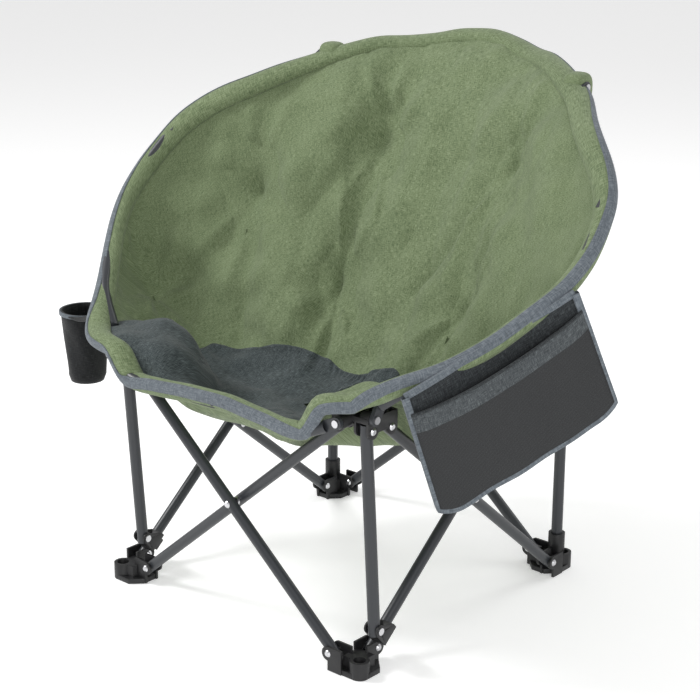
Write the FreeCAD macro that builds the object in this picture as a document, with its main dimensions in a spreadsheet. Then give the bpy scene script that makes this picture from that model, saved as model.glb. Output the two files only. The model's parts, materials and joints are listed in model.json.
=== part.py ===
# Folding saucer chair: a padded bowl on a ring of eight hinged tubes, carried
# by four scissor pairs, four posts, four feet and four corner hubs.
# Millimetres, +Z up, the sitter faces -Y. The chair stands open and at rest.
import FreeCAD, Part
import math
import os
from FreeCAD import Placement, Rotation, Vector

doc = FreeCAD.newDocument("saucer_chair")
sheet = doc.addObject("Spreadsheet::Sheet", "Sizes")

DRIVING_SIZES = (
    ("frame_half", 245.0),        # corner centre to the middle of the frame
    ("pivot_inset", 40.0),        # brace pivot to its corner centre
    ("pivot_height", 26.0),       # foot pivots above the floor
    ("hub_rise", 346.0),          # hub pivots above the foot pivots, open
    ("plane_offset", 10.5),       # brace plane to the corner centre line
    ("brace_radius", 8.5),
    ("brace_wall", 1.2),
    ("brace_end", 12.0),          # tube past its end pivots
    ("post_radius", 9.0),
    ("post_wall", 1.2),
    ("rivet_radius", 3.0),
    ("rivet_head_radius", 5.5),
    ("rivet_head_height", 2.0),
    ("run_clearance", 0.05),      # radial, rivet in a turning tube
    ("side_clearance", 0.3),      # between faces that slide past
    ("cheek", 4.0),               # thickness of a clevis cheek
    ("cheek_round", 11.0),        # radius of a cheek's end
    ("foot_width", 60.0),         # octagon across its flats
    ("foot_plate", 8.0),
    ("socket_outer", 14.5),
    ("socket_bore", 9.5),
    ("socket_height", 26.0),
    ("socket_depth", 18.0),
    ("saddle_bottom", 16.0),      # hub saddle above the hub pivots
    ("saddle_height", 8.0),
    ("post_top_drop", 3.0),       # front post pivot above the hub pivots
    ("front_post_back", 20.0),    # front post's lower pivot behind its top
    ("front_post_foot", 66.0),    # front post's lower pivot above the floor
    ("clip_start", 14.0),         # clip block along the brace from the foot pivot
    ("clip_length", 20.0),
    ("clip_wall", 3.0),
    ("rear_post_top", 800.0),
    ("slider_wall", 4.5),
    ("slider_height", 42.0),
    ("boot_height", 34.0),
    ("ring_radius", 9.0),
    ("ring_wall", 1.2),
    ("strap", 6.0),               # thickness of a ring tube's flattened end
    ("strap_length", 46.0),       # flattened length at a mid hinge
    ("tab_length", 22.0),         # flattened length at a hub
    ("strap_half", 9.0),          # half height of a flattened end
    ("bowl_thickness", 16.0),
    ("rim_inset", 33.0),          # bowl's lip inside the outer rim line
    ("tube_inset", 9.0),         # ring tubes inside the outer rim line
)
for row, (alias, value) in enumerate(DRIVING_SIZES, start=1):
    sheet.set("A%d" % row, alias)
    sheet.set("B%d" % row, str(value))
    sheet.setAlias("B%d" % row, alias)
doc.recompute()


def size(alias):
    return float(getattr(sheet, alias))


frame_half = size("frame_half")
inset = size("pivot_inset")
foot_z = size("pivot_height")
hub_z = foot_z + size("hub_rise")
plane = size("plane_offset")
span = 2 * (frame_half - inset)
brace_pitch = math.hypot(span, size("hub_rise"))
open_angle = math.degrees(math.atan2(size("hub_rise"), span))
X_AXIS, Y_AXIS, Z_AXIS = Vector(1, 0, 0), Vector(0, 1, 0), Vector(0, 0, 1)
CORNERS = ("front_right", "rear_right", "rear_left", "front_left")
SIDES = ("front", "right", "rear", "left")
CHEEK_GAP = "(sizes.post_radius + sizes.side_clearance)"

sheet.Label = "sizes"
NODES = []


def node(feature, name):
    feature.Label = name
    NODES.append(feature)
    return feature


# Primitives whose sizes stay bound to the sheet
def bind(feature, **expressions):
    for prop, text in expressions.items():
        feature.setExpression(prop, text.replace("sizes.", "Sizes."))
    return feature


def cylinder(name, radius, height, base, axis):
    part = doc.addObject("Part::Cylinder", name)
    bind(part, Radius=radius, Height=height)
    part.Placement = Placement(base, Rotation(Z_AXIS, axis))
    return part


def box(name, length, width, height, corner, rotation=Rotation()):
    part = doc.addObject("Part::Box", name)
    bind(part, Length=length, Width=width, Height=height)
    part.Placement = Placement(corner, rotation)
    return part


def fuse(name, parts):
    joined = doc.addObject("Part::MultiFuse", name)
    joined.Shapes = parts
    joined.Refine = True
    return joined


def cut(name, base, tools):
    result = doc.addObject("Part::Cut", name)
    result.Base = base
    result.Tool = tools[0] if len(tools) == 1 else fuse(name + "_tools", tools)
    result.Refine = True
    return result


# A pin with a low head at each end, centred on a pivot
def rivet(name, centre, axis, grip):
    half = "(%s) / 2" % grip
    pin = cylinder(name + "_pin", "sizes.rivet_radius", grip, Vector(0, 0, 0), Z_AXIS)
    low = doc.addObject("Part::Cone", name + "_low")
    high = doc.addObject("Part::Cone", name + "_high")
    bind(low, Radius1="sizes.rivet_head_radius - sizes.rivet_head_height",
         Radius2="sizes.rivet_head_radius", Height="sizes.rivet_head_height")
    bind(high, Radius1="sizes.rivet_head_radius",
         Radius2="sizes.rivet_head_radius - sizes.rivet_head_height", Height="sizes.rivet_head_height")
    bind(pin, **{"Placement.Base.z": "-" + half})
    bind(low, **{"Placement.Base.z": "-%s - sizes.rivet_head_height" % half})
    bind(high, **{"Placement.Base.z": half})
    whole = fuse(name, [pin, low, high])
    whole.Placement = Placement(centre, Rotation(Z_AXIS, axis))
    return whole


def group(name, parts):
    joined = doc.addObject("Part::Compound", name)
    joined.Links = parts
    return node(joined, name)


def turn(quarter):
    return Rotation(Z_AXIS, 90.0 * quarter)


# A straight tube along local Z from its first pivot, with pin holes across local Y
def pierced_tube(name, radius, wall, start, length, holes, placement):
    outer = cylinder(name + "_outer", radius, length, Vector(0, 0, 0), Z_AXIS)
    inner = cylinder(name + "_bore", "%s - %s" % (radius, wall), length, Vector(0, 0, 0), Z_AXIS)
    bind(outer, **{"Placement.Base.z": start})
    bind(inner, **{"Placement.Base.z": start})
    tools = [inner]
    for index, (height, hole_radius) in enumerate(holes):
        hole = cylinder("%s_hole%d" % (name, index), hole_radius, "4 * %s" % radius,
                        Vector(0, 0, 0), Y_AXIS)
        bind(hole, **{"Placement.Base.y": "-2 * %s" % radius, "Placement.Base.z": height})
        tools.append(hole)
    tube = cut(name, outer, tools)
    tube.Placement = placement
    return node(tube, name)


PITCH = "sqrt((2 * (sizes.frame_half - sizes.pivot_inset))^2 + sizes.hub_rise^2)"
TURNING_HOLE = "sizes.rivet_radius + sizes.run_clearance"
FIXED_HOLE = "sizes.rivet_radius"


# Scissor braces: in each side an outer tube and an inner tube cross at mid length
def make_braces():
    for quarter, side in enumerate(SIDES):
        for kind, sign in (("outer", -1), ("inner", 1)):
            start = Vector(-sign * (frame_half - inset), -frame_half + sign * plane, foot_z)
            rise = Vector(sign * span, 0, size("hub_rise"))
            lie = Rotation(Y_AXIS.cross(rise), Y_AXIS, rise, "ZYX")
            place = Placement(turn(quarter).multVec(start), turn(quarter) * lie)
            middle = FIXED_HOLE if kind == "inner" else TURNING_HOLE
            holes = (("0", TURNING_HOLE), ("%s / 2" % PITCH, middle), (PITCH, TURNING_HOLE))
            pierced_tube("brace_%s_%s" % (side, kind), "sizes.brace_radius", "sizes.brace_wall",
                         "-sizes.brace_end", "%s + 2 * sizes.brace_end" % PITCH, holes, place)
        middle = turn(quarter).multVec(Vector(0, -frame_half, foot_z + size("hub_rise") / 2))
        across = turn(quarter).multVec(Y_AXIS)
        pin = rivet("cross_pin_" + side, middle, across, "2 * (sizes.plane_offset + sizes.brace_radius)")
        spacer = cylinder("cross_spacer_" + side, "sizes.rivet_head_radius + 1",
                          "2 * (sizes.plane_offset - sizes.brace_radius - sizes.run_clearance)",
                          Vector(0, 0, 0), Z_AXIS)
        reach = plane - size("brace_radius") - size("run_clearance")
        spacer.Placement = Placement(middle - across * reach, Rotation(Z_AXIS, across))
        node(fuse("cross_rivet_" + side, [pin, spacer]), "cross_rivet_" + side)


# A clevis: two cheeks round a tube end, seen from above as a pair of strips.
# The strips run from `near` to `far` along +X of their own frame.
def clevis(name, placement, gap, near, far, low, top, pivots):
    cheeks = []
    for tag, shift in (("a", "-%s - sizes.cheek" % gap), ("b", gap)):
        plate = box(name + "_plate_" + tag, "(%s) - (%s)" % (far, near), "sizes.cheek",
                    "(%s) - (%s)" % (top, low), Vector(0, 0, 0))
        bind(plate, **{"Placement.Base.x": near, "Placement.Base.y": shift, "Placement.Base.z": low})
        cheeks.append(plate)
        for index, (along, height) in enumerate(pivots):
            disc = cylinder("%s_disc_%s%d" % (name, tag, index), "sizes.cheek_round", "sizes.cheek",
                            Vector(0, 0, 0), Y_AXIS)
            bind(disc, **{"Placement.Base.x": along, "Placement.Base.y": shift,
                          "Placement.Base.z": height})
            cheeks.append(disc)
    solid = fuse(name + "_cheeks", cheeks)
    holes = []
    for index, (along, height) in enumerate(pivots):
        hole = cylinder("%s_bore%d" % (name, index), FIXED_HOLE, "2 * %s + 4 * sizes.cheek" % gap,
                        Vector(0, 0, 0), Y_AXIS)
        bind(hole, **{"Placement.Base.x": along, "Placement.Base.y": "-%s - 2 * sizes.cheek" % gap,
                      "Placement.Base.z": height})
        holes.append(hole)
    pair = cut(name, solid, holes)
    pair.Placement = placement
    return pair


def prism(name, outline, height, level, placement=Placement()):
    """A PartDesign pad of a closed outline, on the plane z = level."""
    body = doc.addObject("PartDesign::Body", name)
    sketch = body.newObject("Sketcher::SketchObject", name + "_outline")
    flat = [f for f in body.Origin.OriginFeatures if f.Role == "XY_Plane"][0]
    sketch.AttachmentSupport = (flat, "")
    sketch.MapMode = "FlatFace"
    sketch.AttachmentOffset = Placement(Vector(0, 0, level), Rotation())
    count = len(outline)
    for index, (x, y) in enumerate(outline):
        nx, ny = outline[(index + 1) % count]
        sketch.addGeometry(Part.LineSegment(Vector(x, y, 0), Vector(nx, ny, 0)), False)
    pad = body.newObject("PartDesign::Pad", name + "_pad")
    pad.Profile = sketch
    bind(pad, Length=height)
    body.Tip = pad
    body.Placement = placement
    return body


GRIP = "2 * %s + 2 * sizes.cheek" % CHEEK_GAP
gap = size("post_radius") + size("side_clearance")
cheek_out = gap + size("cheek")
corner_reach = inset + size("cheek_round")


def corner_place(quarter, height=0.0):
    return Placement(turn(quarter).multVec(Vector(frame_half, -frame_half, height)), turn(quarter))


def shifted(x, y, height=0.0, angle=0.0):
    return Placement(Vector(x, y, height), Rotation(Z_AXIS, angle))


# Feet: an octagonal plate, a web, a round open socket and two clevises
def make_foot(quarter, corner):
    name = "foot_" + corner
    half = size("foot_width") / 2
    centre = half - size("socket_outer") - size("plane_offset") + 3.0
    edge = half * math.tan(math.radians(22.5))
    ring = ((half, -edge), (half, edge), (edge, half), (-edge, half),
            (-half, edge), (-half, -edge), (-edge, -half), (edge, -half))
    plate = prism(name + "_plate", [(x - centre, y + centre) for x, y in ring],
                  "sizes.foot_plate", 0.0)
    web_near, web_far = -20.0, 12.0
    web = prism(name + "_web", ((web_near, -web_far), (web_far, -web_far), (web_far, -web_near),
                                (-web_far, -web_near), (web_near, web_far)), "sizes.socket_height", 0.0)
    out = half - centre - size("socket_outer")
    tower = cylinder(name + "_tower", "sizes.socket_outer", "sizes.socket_height",
                     Vector(out, -out, 0), Z_AXIS)
    bore = cylinder(name + "_socket", "sizes.socket_bore", "sizes.socket_depth + 1",
                    Vector(out, -out, size("socket_height") - size("socket_depth")), Z_AXIS)
    near = "sizes.post_radius + sizes.slider_wall + 1"
    top = "sizes.pivot_height + sizes.cheek_round"
    lead = clevis(name + "_lead", shifted(0, -plane), CHEEK_GAP, "-sizes.pivot_inset", "-(%s)" % near,
                  "0", top, (("-sizes.pivot_inset", "sizes.pivot_height"),))
    trail = clevis(name + "_trail", shifted(-plane, 0, 0, 90), CHEEK_GAP, near, "sizes.pivot_inset",
                   "0", top, (("sizes.pivot_inset", "sizes.pivot_height"),))
    foot = cut(name, fuse(name + "_solid", [plate, web, tower, lead, trail]), [bore])
    foot.Placement = corner_place(quarter)
    node(foot, name)
    pins = []
    for tag, centre_point, axis in (("lead", Vector(-inset, -plane, foot_z), Y_AXIS),
                                    ("trail", Vector(-plane, inset, foot_z), X_AXIS)):
        place = corner_place(quarter)
        pins.append(rivet("%s_pin_%s" % (name, tag), place.multVec(centre_point),
                          turn(quarter).multVec(axis), GRIP))
    group("foot_rivets_" + corner, pins)


# Front hubs: a ribbed saddle over a long clevis for post and side brace,
# a clevis for the front brace, and two bosses for the ring tubes
def make_front_hub(corner, quarter_x, sign):
    name = "hub_" + corner
    base = Vector(quarter_x * frame_half, -frame_half, 0)
    low, top = hub_z, hub_z + size("saddle_bottom") + 1.0
    post_z = "(sizes.pivot_height + sizes.hub_rise + sizes.post_top_drop)"
    side = clevis(name + "_side", shifted(plane, 0, 0, 90), CHEEK_GAP, "-sizes.cheek_round",
                  "sizes.pivot_inset + sizes.cheek_round", str(low), str(top),
                  (("0", post_z), ("sizes.pivot_inset", str(hub_z))))
    start = "sizes.plane_offset + %s + sizes.cheek + 2.5" % CHEEK_GAP
    front = clevis(name + "_front", shifted(0, sign * plane, 0, 0 if sign < 0 else 180), CHEEK_GAP,
                   start, "sizes.pivot_inset + sizes.cheek_round", str(low), str(top),
                   (("sizes.pivot_inset", str(hub_z)),))
    reach, edge = corner_reach, plane + cheek_out
    level = hub_z + size("saddle_bottom")
    if sign > 0:
        outline = ((-reach, plane - cheek_out - 1), (-reach, edge), (-8.0, reach), (edge, reach),
                   (edge, -13.0), (-24.0, -13.0))
    else:
        outline = ((reach, -edge), (reach, cheek_out - plane + 1), (edge, reach), (-3.0, reach),
                   (-24.0, 22.0), (-24.0, -13.0), (3.0, -edge))
    saddle = prism(name + "_saddle", outline, "sizes.saddle_height", level)
    boss_y, boss_z = front_ring_pivot(sign)[1] + frame_half, front_ring_pivot(sign)[2]
    strap_gap = size("strap") / 2 + size("side_clearance")
    front_boss = cylinder(name + "_front_boss", "sizes.strap_half + 1", "30" if sign > 0 else "20",
                          Vector(-13.0 * sign, boss_y + strap_gap, boss_z), Y_AXIS)
    arc_x, arc_y, arc_z = side_ring_pivot(sign)
    arc_x, arc_y = arc_x - base.x, arc_y - base.y
    inner_face = arc_x - sign * strap_gap
    side_boss = cylinder(name + "_side_boss", "sizes.strap_half + 1", "16",
                         Vector(inner_face - (16.0 if sign > 0 else 0.0), arc_y, arc_z), X_AXIS)
    foot_x = min(inner_face, inner_face - 16.0 * sign)
    stand = box(name + "_stand", "16", "2 * sizes.strap_half + 2", "%s" % (arc_z - level),
                Vector(foot_x, arc_y - size("strap_half") - 1, level))
    rib_level = level + size("saddle_height")
    ribs = []
    for index, offset in enumerate((18.0, 30.0, 42.0)):
        ribs.append(box("%s_rib%d" % (name, index), "22", "3", "4",
                        Vector(plane - 11.0, offset, rib_level - 1.0)))
    solid = fuse(name + "_solid", [side, front, saddle, front_boss, side_boss, stand] + ribs)
    bores = [cylinder(name + "_front_bore", FIXED_HOLE, str(10.0 + strap_gap),
                      Vector(-13.0 * sign, boss_y - 5.0, boss_z), Y_AXIS),
             cylinder(name + "_side_bore", FIXED_HOLE, "10", Vector(inner_face - 5.0, arc_y, arc_z), X_AXIS)]
    hub = cut(name, solid, bores)
    hub.Placement = Placement(base, Rotation())
    node(hub, name)
    pins = [rivet(name + "_post_pin", base + Vector(plane, 0, hub_z + size("post_top_drop")), X_AXIS, GRIP),
            rivet(name + "_side_pin", base + Vector(plane, inset, hub_z), X_AXIS, GRIP),
            rivet(name + "_front_pin", base + Vector(-sign * inset, sign * plane, hub_z), Y_AXIS, GRIP)]
    group("hub_rivets_" + corner, pins)


# Where the ring tubes turn on the front hubs and on the rear post tops
def front_ring_pivot(sign):
    return (sign * (frame_half - 13.0), -frame_half - 34.0, hub_z + 16.0)


def side_ring_pivot(sign):
    return (sign * (frame_half + 27.5), -frame_half - 2.0, hub_z + 22.0)


def rear_side_pivot(sign):
    return (sign * (frame_half + 20.0), frame_half - 4.0, size("rear_post_top") - 12.0)


def rear_back_pivot(sign):
    return (sign * (frame_half - 3.0), frame_half + 20.0, size("rear_post_top") - 10.0)


# Rear hubs: sleeves that slide up the rear posts as the frame folds
def make_rear_hub(quarter, corner):
    name = "hub_" + corner
    low, top = hub_z, hub_z + size("saddle_bottom") + 1.0
    near = "sizes.post_radius + sizes.side_clearance + sizes.slider_wall - 1"
    far = "sizes.pivot_inset + sizes.cheek_round"
    pivots = (("sizes.pivot_inset", str(hub_z)),)
    first = clevis(name + "_first", shifted(0, plane, 0, 180), CHEEK_GAP, near, far, str(low), str(top), pivots)
    second = clevis(name + "_second", shifted(plane, 0, 0, 90), CHEEK_GAP, near, far, str(low), str(top), pivots)
    edge = plane + cheek_out
    outline = ((-corner_reach, plane - cheek_out - 1), (-corner_reach, edge), (-8.0, corner_reach),
               (edge, corner_reach), (edge, -14.0), (-14.0, -14.0))
    saddle = prism(name + "_saddle", outline, "sizes.saddle_height", hub_z + size("saddle_bottom"))
    sleeve = cylinder(name + "_sleeve", "sizes.post_radius + sizes.side_clearance + sizes.slider_wall",
                      "sizes.slider_height", Vector(0, 0, hub_z - size("cheek_round")), Z_AXIS)
    bore = cylinder(name + "_bore", "sizes.post_radius + sizes.side_clearance", "2 * sizes.slider_height",
                    Vector(0, 0, hub_z - 2 * size("cheek_round")), Z_AXIS)
    hub = cut(name, fuse(name + "_solid", [first, second, saddle, sleeve]), [bore])
    hub.Placement = corner_place(quarter)
    node(hub, name)
    place = corner_place(quarter)
    pins = [rivet(name + "_first_pin", place.multVec(Vector(-inset, plane, hub_z)),
                  turn(quarter).multVec(Y_AXIS), GRIP),
            rivet(name + "_second_pin", place.multVec(Vector(plane, inset, hub_z)),
                  turn(quarter).multVec(X_AXIS), GRIP)]
    group("hub_rivets_" + corner, pins)


# Front posts hang from the front hubs and lean back to their clips
def front_post_line(quarter_x):
    x = quarter_x * frame_half + plane
    top = Vector(x, -frame_half, hub_z + size("post_top_drop"))
    low = Vector(x, -frame_half + size("front_post_back"), size("front_post_foot"))
    return top, low


def make_front_post(corner, quarter_x):
    top, low = front_post_line(quarter_x)
    rise = top - low
    length = "sqrt(sizes.front_post_back^2 + (%s - sizes.front_post_foot)^2)" % (
        "sizes.pivot_height + sizes.hub_rise + sizes.post_top_drop")
    place = Placement(low, Rotation(X_AXIS.cross(rise) * -1, X_AXIS * -1, rise, "ZYX"))
    holes = (("0", FIXED_HOLE), (length, TURNING_HOLE))
    pierced_tube("post_" + corner, "sizes.post_radius", "sizes.post_wall", "-sizes.post_radius",
                 "%s + 2 * sizes.post_radius" % length, holes, place)


# Clips: blocks that slide on the side braces, with two ears for the post's end
def clip_frame(quarter_x):
    start = Vector(quarter_x * frame_half - plane, -frame_half + inset, foot_z)
    return Placement(start, Rotation(X_AXIS, open_angle))


def make_clip(corner, quarter_x):
    name = "clip_" + corner
    frame = clip_frame(quarter_x)
    pivot = frame.inverse().multVec(front_post_line(quarter_x)[1])
    bore_radius = size("brace_radius") + 0.2
    half = bore_radius + size("clip_wall")
    start, length = size("clip_start"), size("clip_length")
    block = box(name + "_block", str(2 * half), "sizes.clip_length", str(2 * half),
                Vector(-half, start, -half))
    solids = [block]
    ear_round = size("post_radius")
    inner, outer, bridge = half - size("clip_wall"), 2 * plane + gap, half + 4.0
    for tag, x, width, foot in (("inner", inner, size("clip_wall"), 0.0),
                                ("outer", outer, size("clip_wall"), bridge)):
        points = [(x, start, foot), (x, start + length, foot), (x, start + length, half + 12.0),
                  (x, pivot.y + ear_round, pivot.z), (x, pivot.y - ear_round, pivot.z),
                  (x, pivot.y - ear_round, foot)]
        if foot == 0:
            points[5:] = [(x, pivot.y - ear_round, bridge), (x, start, bridge)]
        wire = Part.makePolygon([Vector(*p) for p in points + points[:1]])
        ear = doc.addObject("Part::Feature", "%s_%s_ear" % (name, tag))
        ear.Shape = Part.Face(wire).extrude(Vector(width, 0, 0))
        solids += [ear, cylinder("%s_%s_end" % (name, tag), "sizes.post_radius", "sizes.clip_wall",
                                 Vector(x, pivot.y, pivot.z), X_AXIS)]
    floor_low = pivot.y - ear_round
    solids.append(box(name + "_bridge", str(outer + size("clip_wall") - inner), str(start + length - floor_low),
                      "8", Vector(inner, floor_low, bridge)))
    bores = [cylinder(name + "_bore", str(bore_radius), "3 * sizes.clip_length", Vector(0, 0, 0), Y_AXIS),
             cylinder(name + "_ear_bore", FIXED_HOLE, "80", Vector(inner - 1, pivot.y, pivot.z), X_AXIS)]
    clip = cut(name, fuse(name + "_solid", solids), bores)
    clip.Placement = frame
    node(clip, name)
    # the post's lower pivot is held by two studs, one in each ear
    studs = []
    for tag, x, out in (("inner", inner, -1), ("outer", outer, 1)):
        stud = cylinder("%s_stud_%s" % (name, tag), FIXED_HOLE, "sizes.clip_wall", Vector(x, pivot.y, pivot.z), X_AXIS)
        studs.append(stud)
        if out > 0:
            studs.append(cylinder(name + "_head", "sizes.rivet_head_radius", "sizes.rivet_head_height",
                                  Vector(x + size("clip_wall"), pivot.y, pivot.z), X_AXIS))
    rivets = fuse("clip_rivet_" + corner, studs[1:])
    rivets.Placement = frame
    plug = studs[0]
    plug.Placement = frame * plug.Placement
    group("clip_rivets_" + corner, [rivets, plug])


# Rear posts stand in boots on the rear feet and carry the ring's rear corners
def make_rear_post(quarter, corner):
    sign = 1 if "right" in corner else -1
    base = Vector(sign * frame_half, frame_half, 0)
    start = size("socket_height") + 2.0
    outer = cylinder("post_%s_outer" % corner, "sizes.post_radius", "sizes.rear_post_top - %s" % start,
                     base + Vector(0, 0, start), Z_AXIS)
    inner = cylinder("post_%s_bore" % corner, "sizes.post_radius - sizes.post_wall",
                     "sizes.rear_post_top", base, Z_AXIS)
    node(cut("post_" + corner, outer, [inner]), "post_" + corner)
    boot = cylinder("boot_%s_outer" % corner, "sizes.post_radius + sizes.slider_wall", "sizes.boot_height",
                    base + Vector(0, 0, size("socket_height")), Z_AXIS)
    seat = cylinder("boot_%s_seat" % corner, "sizes.post_radius", "sizes.boot_height",
                    base + Vector(0, 0, start), Z_AXIS)
    node(cut("boot_" + corner, boot, [seat]), "boot_" + corner)
    # ring corner on the post's top
    name = "ring_corner_" + corner.split("_")[1]
    top = size("rear_post_top")
    cap = cylinder(name + "_cap", "sizes.post_radius + sizes.slider_wall", "36", base + Vector(0, 0, top - 32.0), Z_AXIS)
    side = rear_side_pivot(sign)
    back = rear_back_pivot(sign)
    gap_to_strap = size("strap") / 2 + size("side_clearance")
    side_length = abs(side[0] - base.x) - gap_to_strap
    back_length = back[1] - base.y - gap_to_strap
    side_boss = cylinder(name + "_side", "sizes.strap_half + 1", str(side_length),
                         Vector(base.x, side[1], side[2]), X_AXIS * sign)
    back_boss = cylinder(name + "_back", "sizes.strap_half + 1", str(back_length),
                         Vector(back[0], base.y, back[2]), Y_AXIS)
    bore = cylinder(name + "_bore", "sizes.post_radius", "60", base + Vector(0, 0, top - 60.0), Z_AXIS)
    pins = [cylinder(name + "_side_bore", FIXED_HOLE, "9",
                     Vector(base.x + sign * (side_length - 5.0), side[1], side[2]), X_AXIS * sign),
            cylinder(name + "_back_bore", FIXED_HOLE, "9",
                     Vector(back[0], base.y + back_length - 5.0, back[2]), Y_AXIS)]
    node(cut(name, fuse(name + "_solid", [cap, side_boss, back_boss]), [bore] + pins), name)


# A headed pin from a boss through the flattened end that turns on it
def ring_pin(name, pivot, out, depth):
    centre = Vector(*pivot)
    half = size("strap") / 2 + 0.2
    length = depth + 2 * half + size("side_clearance")
    pin = cylinder(name + "_shank", "sizes.rivet_radius", str(length), centre + out * half - out * length, out)
    head = cylinder(name + "_head", "sizes.rivet_head_radius", "sizes.rivet_head_height", centre + out * half, out)
    return fuse(name, [pin, head])


SIDE_HINGE = 108.0


def bent_path(points):
    """Straight runs joined by tangent arcs, each as large as its runs allow."""
    edges, last = [], points[0]
    for before, corner, after in zip(points[:-2], points[1:-1], points[2:]):
        into, out = before - corner, after - corner
        reach = 0.48 * min(into.Length, out.Length)
        into.normalize()
        out.normalize()
        first, second = corner + into * reach, corner + out * reach
        half = (math.pi - into.getAngle(out)) / 2
        radius = reach / math.tan(half)
        middle = corner + (into + out).normalize() * (radius / math.cos(half) - radius)
        edges.append(Part.LineSegment(last, first).toShape())
        edges.append(Part.Arc(first, middle, second).toShape())
        last = second
    edges.append(Part.LineSegment(last, points[-1]).toShape())
    return Part.Wire(edges)


# Ring tubes: a bent tube with a flattened end at its corner and a lapped
# flattened end at the mid hinge, both turning about the same axis
def ring_tube(name, corner_pivot, through, mid_pivot, axis, lap):
    start, end = Vector(*corner_pivot), Vector(*mid_pivot)
    # at the side hinges each tube stays on its own side of the hinge plane
    aside = size("ring_radius") + 0.5 if axis == X_AXIS else 0.0
    strap_length = size("tab_length") if axis == X_AXIS else size("strap_length")

    def flat_direction(target, origin):
        line = target - origin
        line = line - axis * line.dot(axis)
        return line.normalize()

    first = flat_direction(through[0], start)
    last = flat_direction(through[-1], end)
    tube_start = start + first * size("tab_length")
    tube_end = end + last * strap_length + axis * (lap * aside)
    path = bent_path([tube_start] + through + [tube_end])

    def pipe(radius):
        edge = path.Edges[0]
        tangent = edge.tangentAt(edge.FirstParameter)
        ring = Part.Wire([Part.Circle(tube_start, tangent, radius).toShape()])
        return path.makePipeShell([ring], True, False)

    tube = pipe(size("ring_radius")).cut(pipe(size("ring_radius") - size("ring_wall")))

    def flattened(origin, direction, length, offset):
        side = axis.cross(direction)
        half, thick = size("strap_half"), size("strap")
        low = origin + axis * (offset - thick / 2)
        corners = [low + side * half, low + side * half + direction * length,
                   low - side * half + direction * length, low - side * half]
        edges = [Part.LineSegment(p, q).toShape() for p, q in zip(corners[:-1], corners[1:])]
        edges.append(Part.Arc(corners[3], low - direction * half, corners[0]).toShape())
        return Part.Face(Part.Wire(edges)).extrude(axis * thick)

    lap_offset = lap * (size("strap") / 2 + size("side_clearance"))
    tab = flattened(start, first, size("tab_length") + 6.0, 0.0)
    strap = flattened(end, last, strap_length + 6.0, lap_offset)
    hole = size("rivet_radius") + size("run_clearance")
    bore = Part.makeCylinder(hole, 40, start - axis * 20, axis)
    face = end + axis * (lap_offset + lap * size("strap") / 2)
    head = Part.makeCylinder(size("rivet_head_radius"), size("rivet_head_height"), face, axis * lap)
    feature = doc.addObject("Part::Feature", name)
    feature.Shape = tube.fuse([tab, strap, head]).cut(bore).removeSplitter()
    node(feature, name)


def ring_line(around, sign):
    """A point of the ring tubes' centre line, inside the rim line."""
    rim = rim_point(math.radians(around))
    reach = Vector(rim.x - BOWL_CENTRE.x, rim.y - BOWL_CENTRE.y, 0).normalize()
    point = rim - reach * size("tube_inset")
    return Vector(sign * point.x, point.y, point.z)


def make_ring():
    for label, sign in (("right", 1), ("left", -1)):
        rows = (("ring_front_" + label, front_ring_pivot(sign), (27.0, 18.0, 9.0), 0.0, Y_AXIS, sign, "hub_pin"),
                ("ring_side_front_" + label, side_ring_pivot(sign), (60.0, 74.0, 90.0), SIDE_HINGE,
                 X_AXIS, sign, "hub_pin"),
                ("ring_side_rear_" + label, rear_side_pivot(sign), (131.0, 122.0), SIDE_HINGE,
                 X_AXIS, -sign, "top_pin"),
                ("ring_back_" + label, rear_back_pivot(sign), (146.0, 158.0, 168.0), 180.0,
                 Y_AXIS, sign, "top_pin"))
        hub_pins, top_pins = [], []
        for name, corner_pivot, angles, mid, axis, lap, where in rows:
            through = [ring_line(angle, sign) for angle in angles]
            hinge = ring_line(mid, sign) + Vector(sign * 6.0 if axis == X_AXIS else 0.0, 0, 0)
            ring_tube(name, corner_pivot, through, hinge, axis, lap)
            out = Y_AXIS if "back" in name else Y_AXIS * -1
            out = X_AXIS * sign if axis == X_AXIS else out
            pin = ring_pin(name + "_pin", corner_pivot, out, 4.5)
            (hub_pins if where == "hub_pin" else top_pins).append(pin)
        group("ring_pins_hub_" + label, hub_pins)
        group("ring_pins_top_" + label, top_pins)


# Outer line of the cover's rim, every 15 degrees from the front, right half
RIM_POINTS = ((0.0, -292.0, 364.0), (115.0, -296.0, 365.0), (196.0, -296.0, 366.0), (258.0, -272.0, 418.0),
              (330.0, -215.0, 450.0), (410.0, -125.0, 515.0), (457.0, -33.0, 582.0), (438.0, 51.0, 664.0),
              (366.0, 137.0, 730.0), (274.0, 226.0, 778.0), (183.0, 301.0, 804.0), (94.0, 346.0, 819.0),
              (0.0, 360.0, 828.0))
BOWL_CENTRE = Vector(0.0, -70.0, 296.0)
TUFTS = ((117.0, 106.0), (120.0, 223.0), (335.0, 128.0), (370.0, -40.0))
TUFT_DEPTH, TUFT_REACH = 9.0, 52.0
HUB_HUMP = (222.0, -222.0, 420.0, 42.0, 70.0)     # x, y, height, flat radius, slope


def rim_harmonics():
    count = len(RIM_POINTS) - 1
    full = list(RIM_POINTS) + [(-x, y, z) for x, y, z in RIM_POINTS[count - 1:0:-1]]
    total = len(full)
    table = []
    for k in range(count):
        scale = (1.0 if k == 0 else 2.0) / total
        angles = [2 * math.pi * k * i / total for i in range(total)]
        table.append((scale * sum(p[0] * math.sin(a) for p, a in zip(full, angles)),
                      scale * sum(p[1] * math.cos(a) for p, a in zip(full, angles)),
                      scale * sum(p[2] * math.cos(a) for p, a in zip(full, angles))))
    return table


HARMONICS = rim_harmonics()


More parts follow.
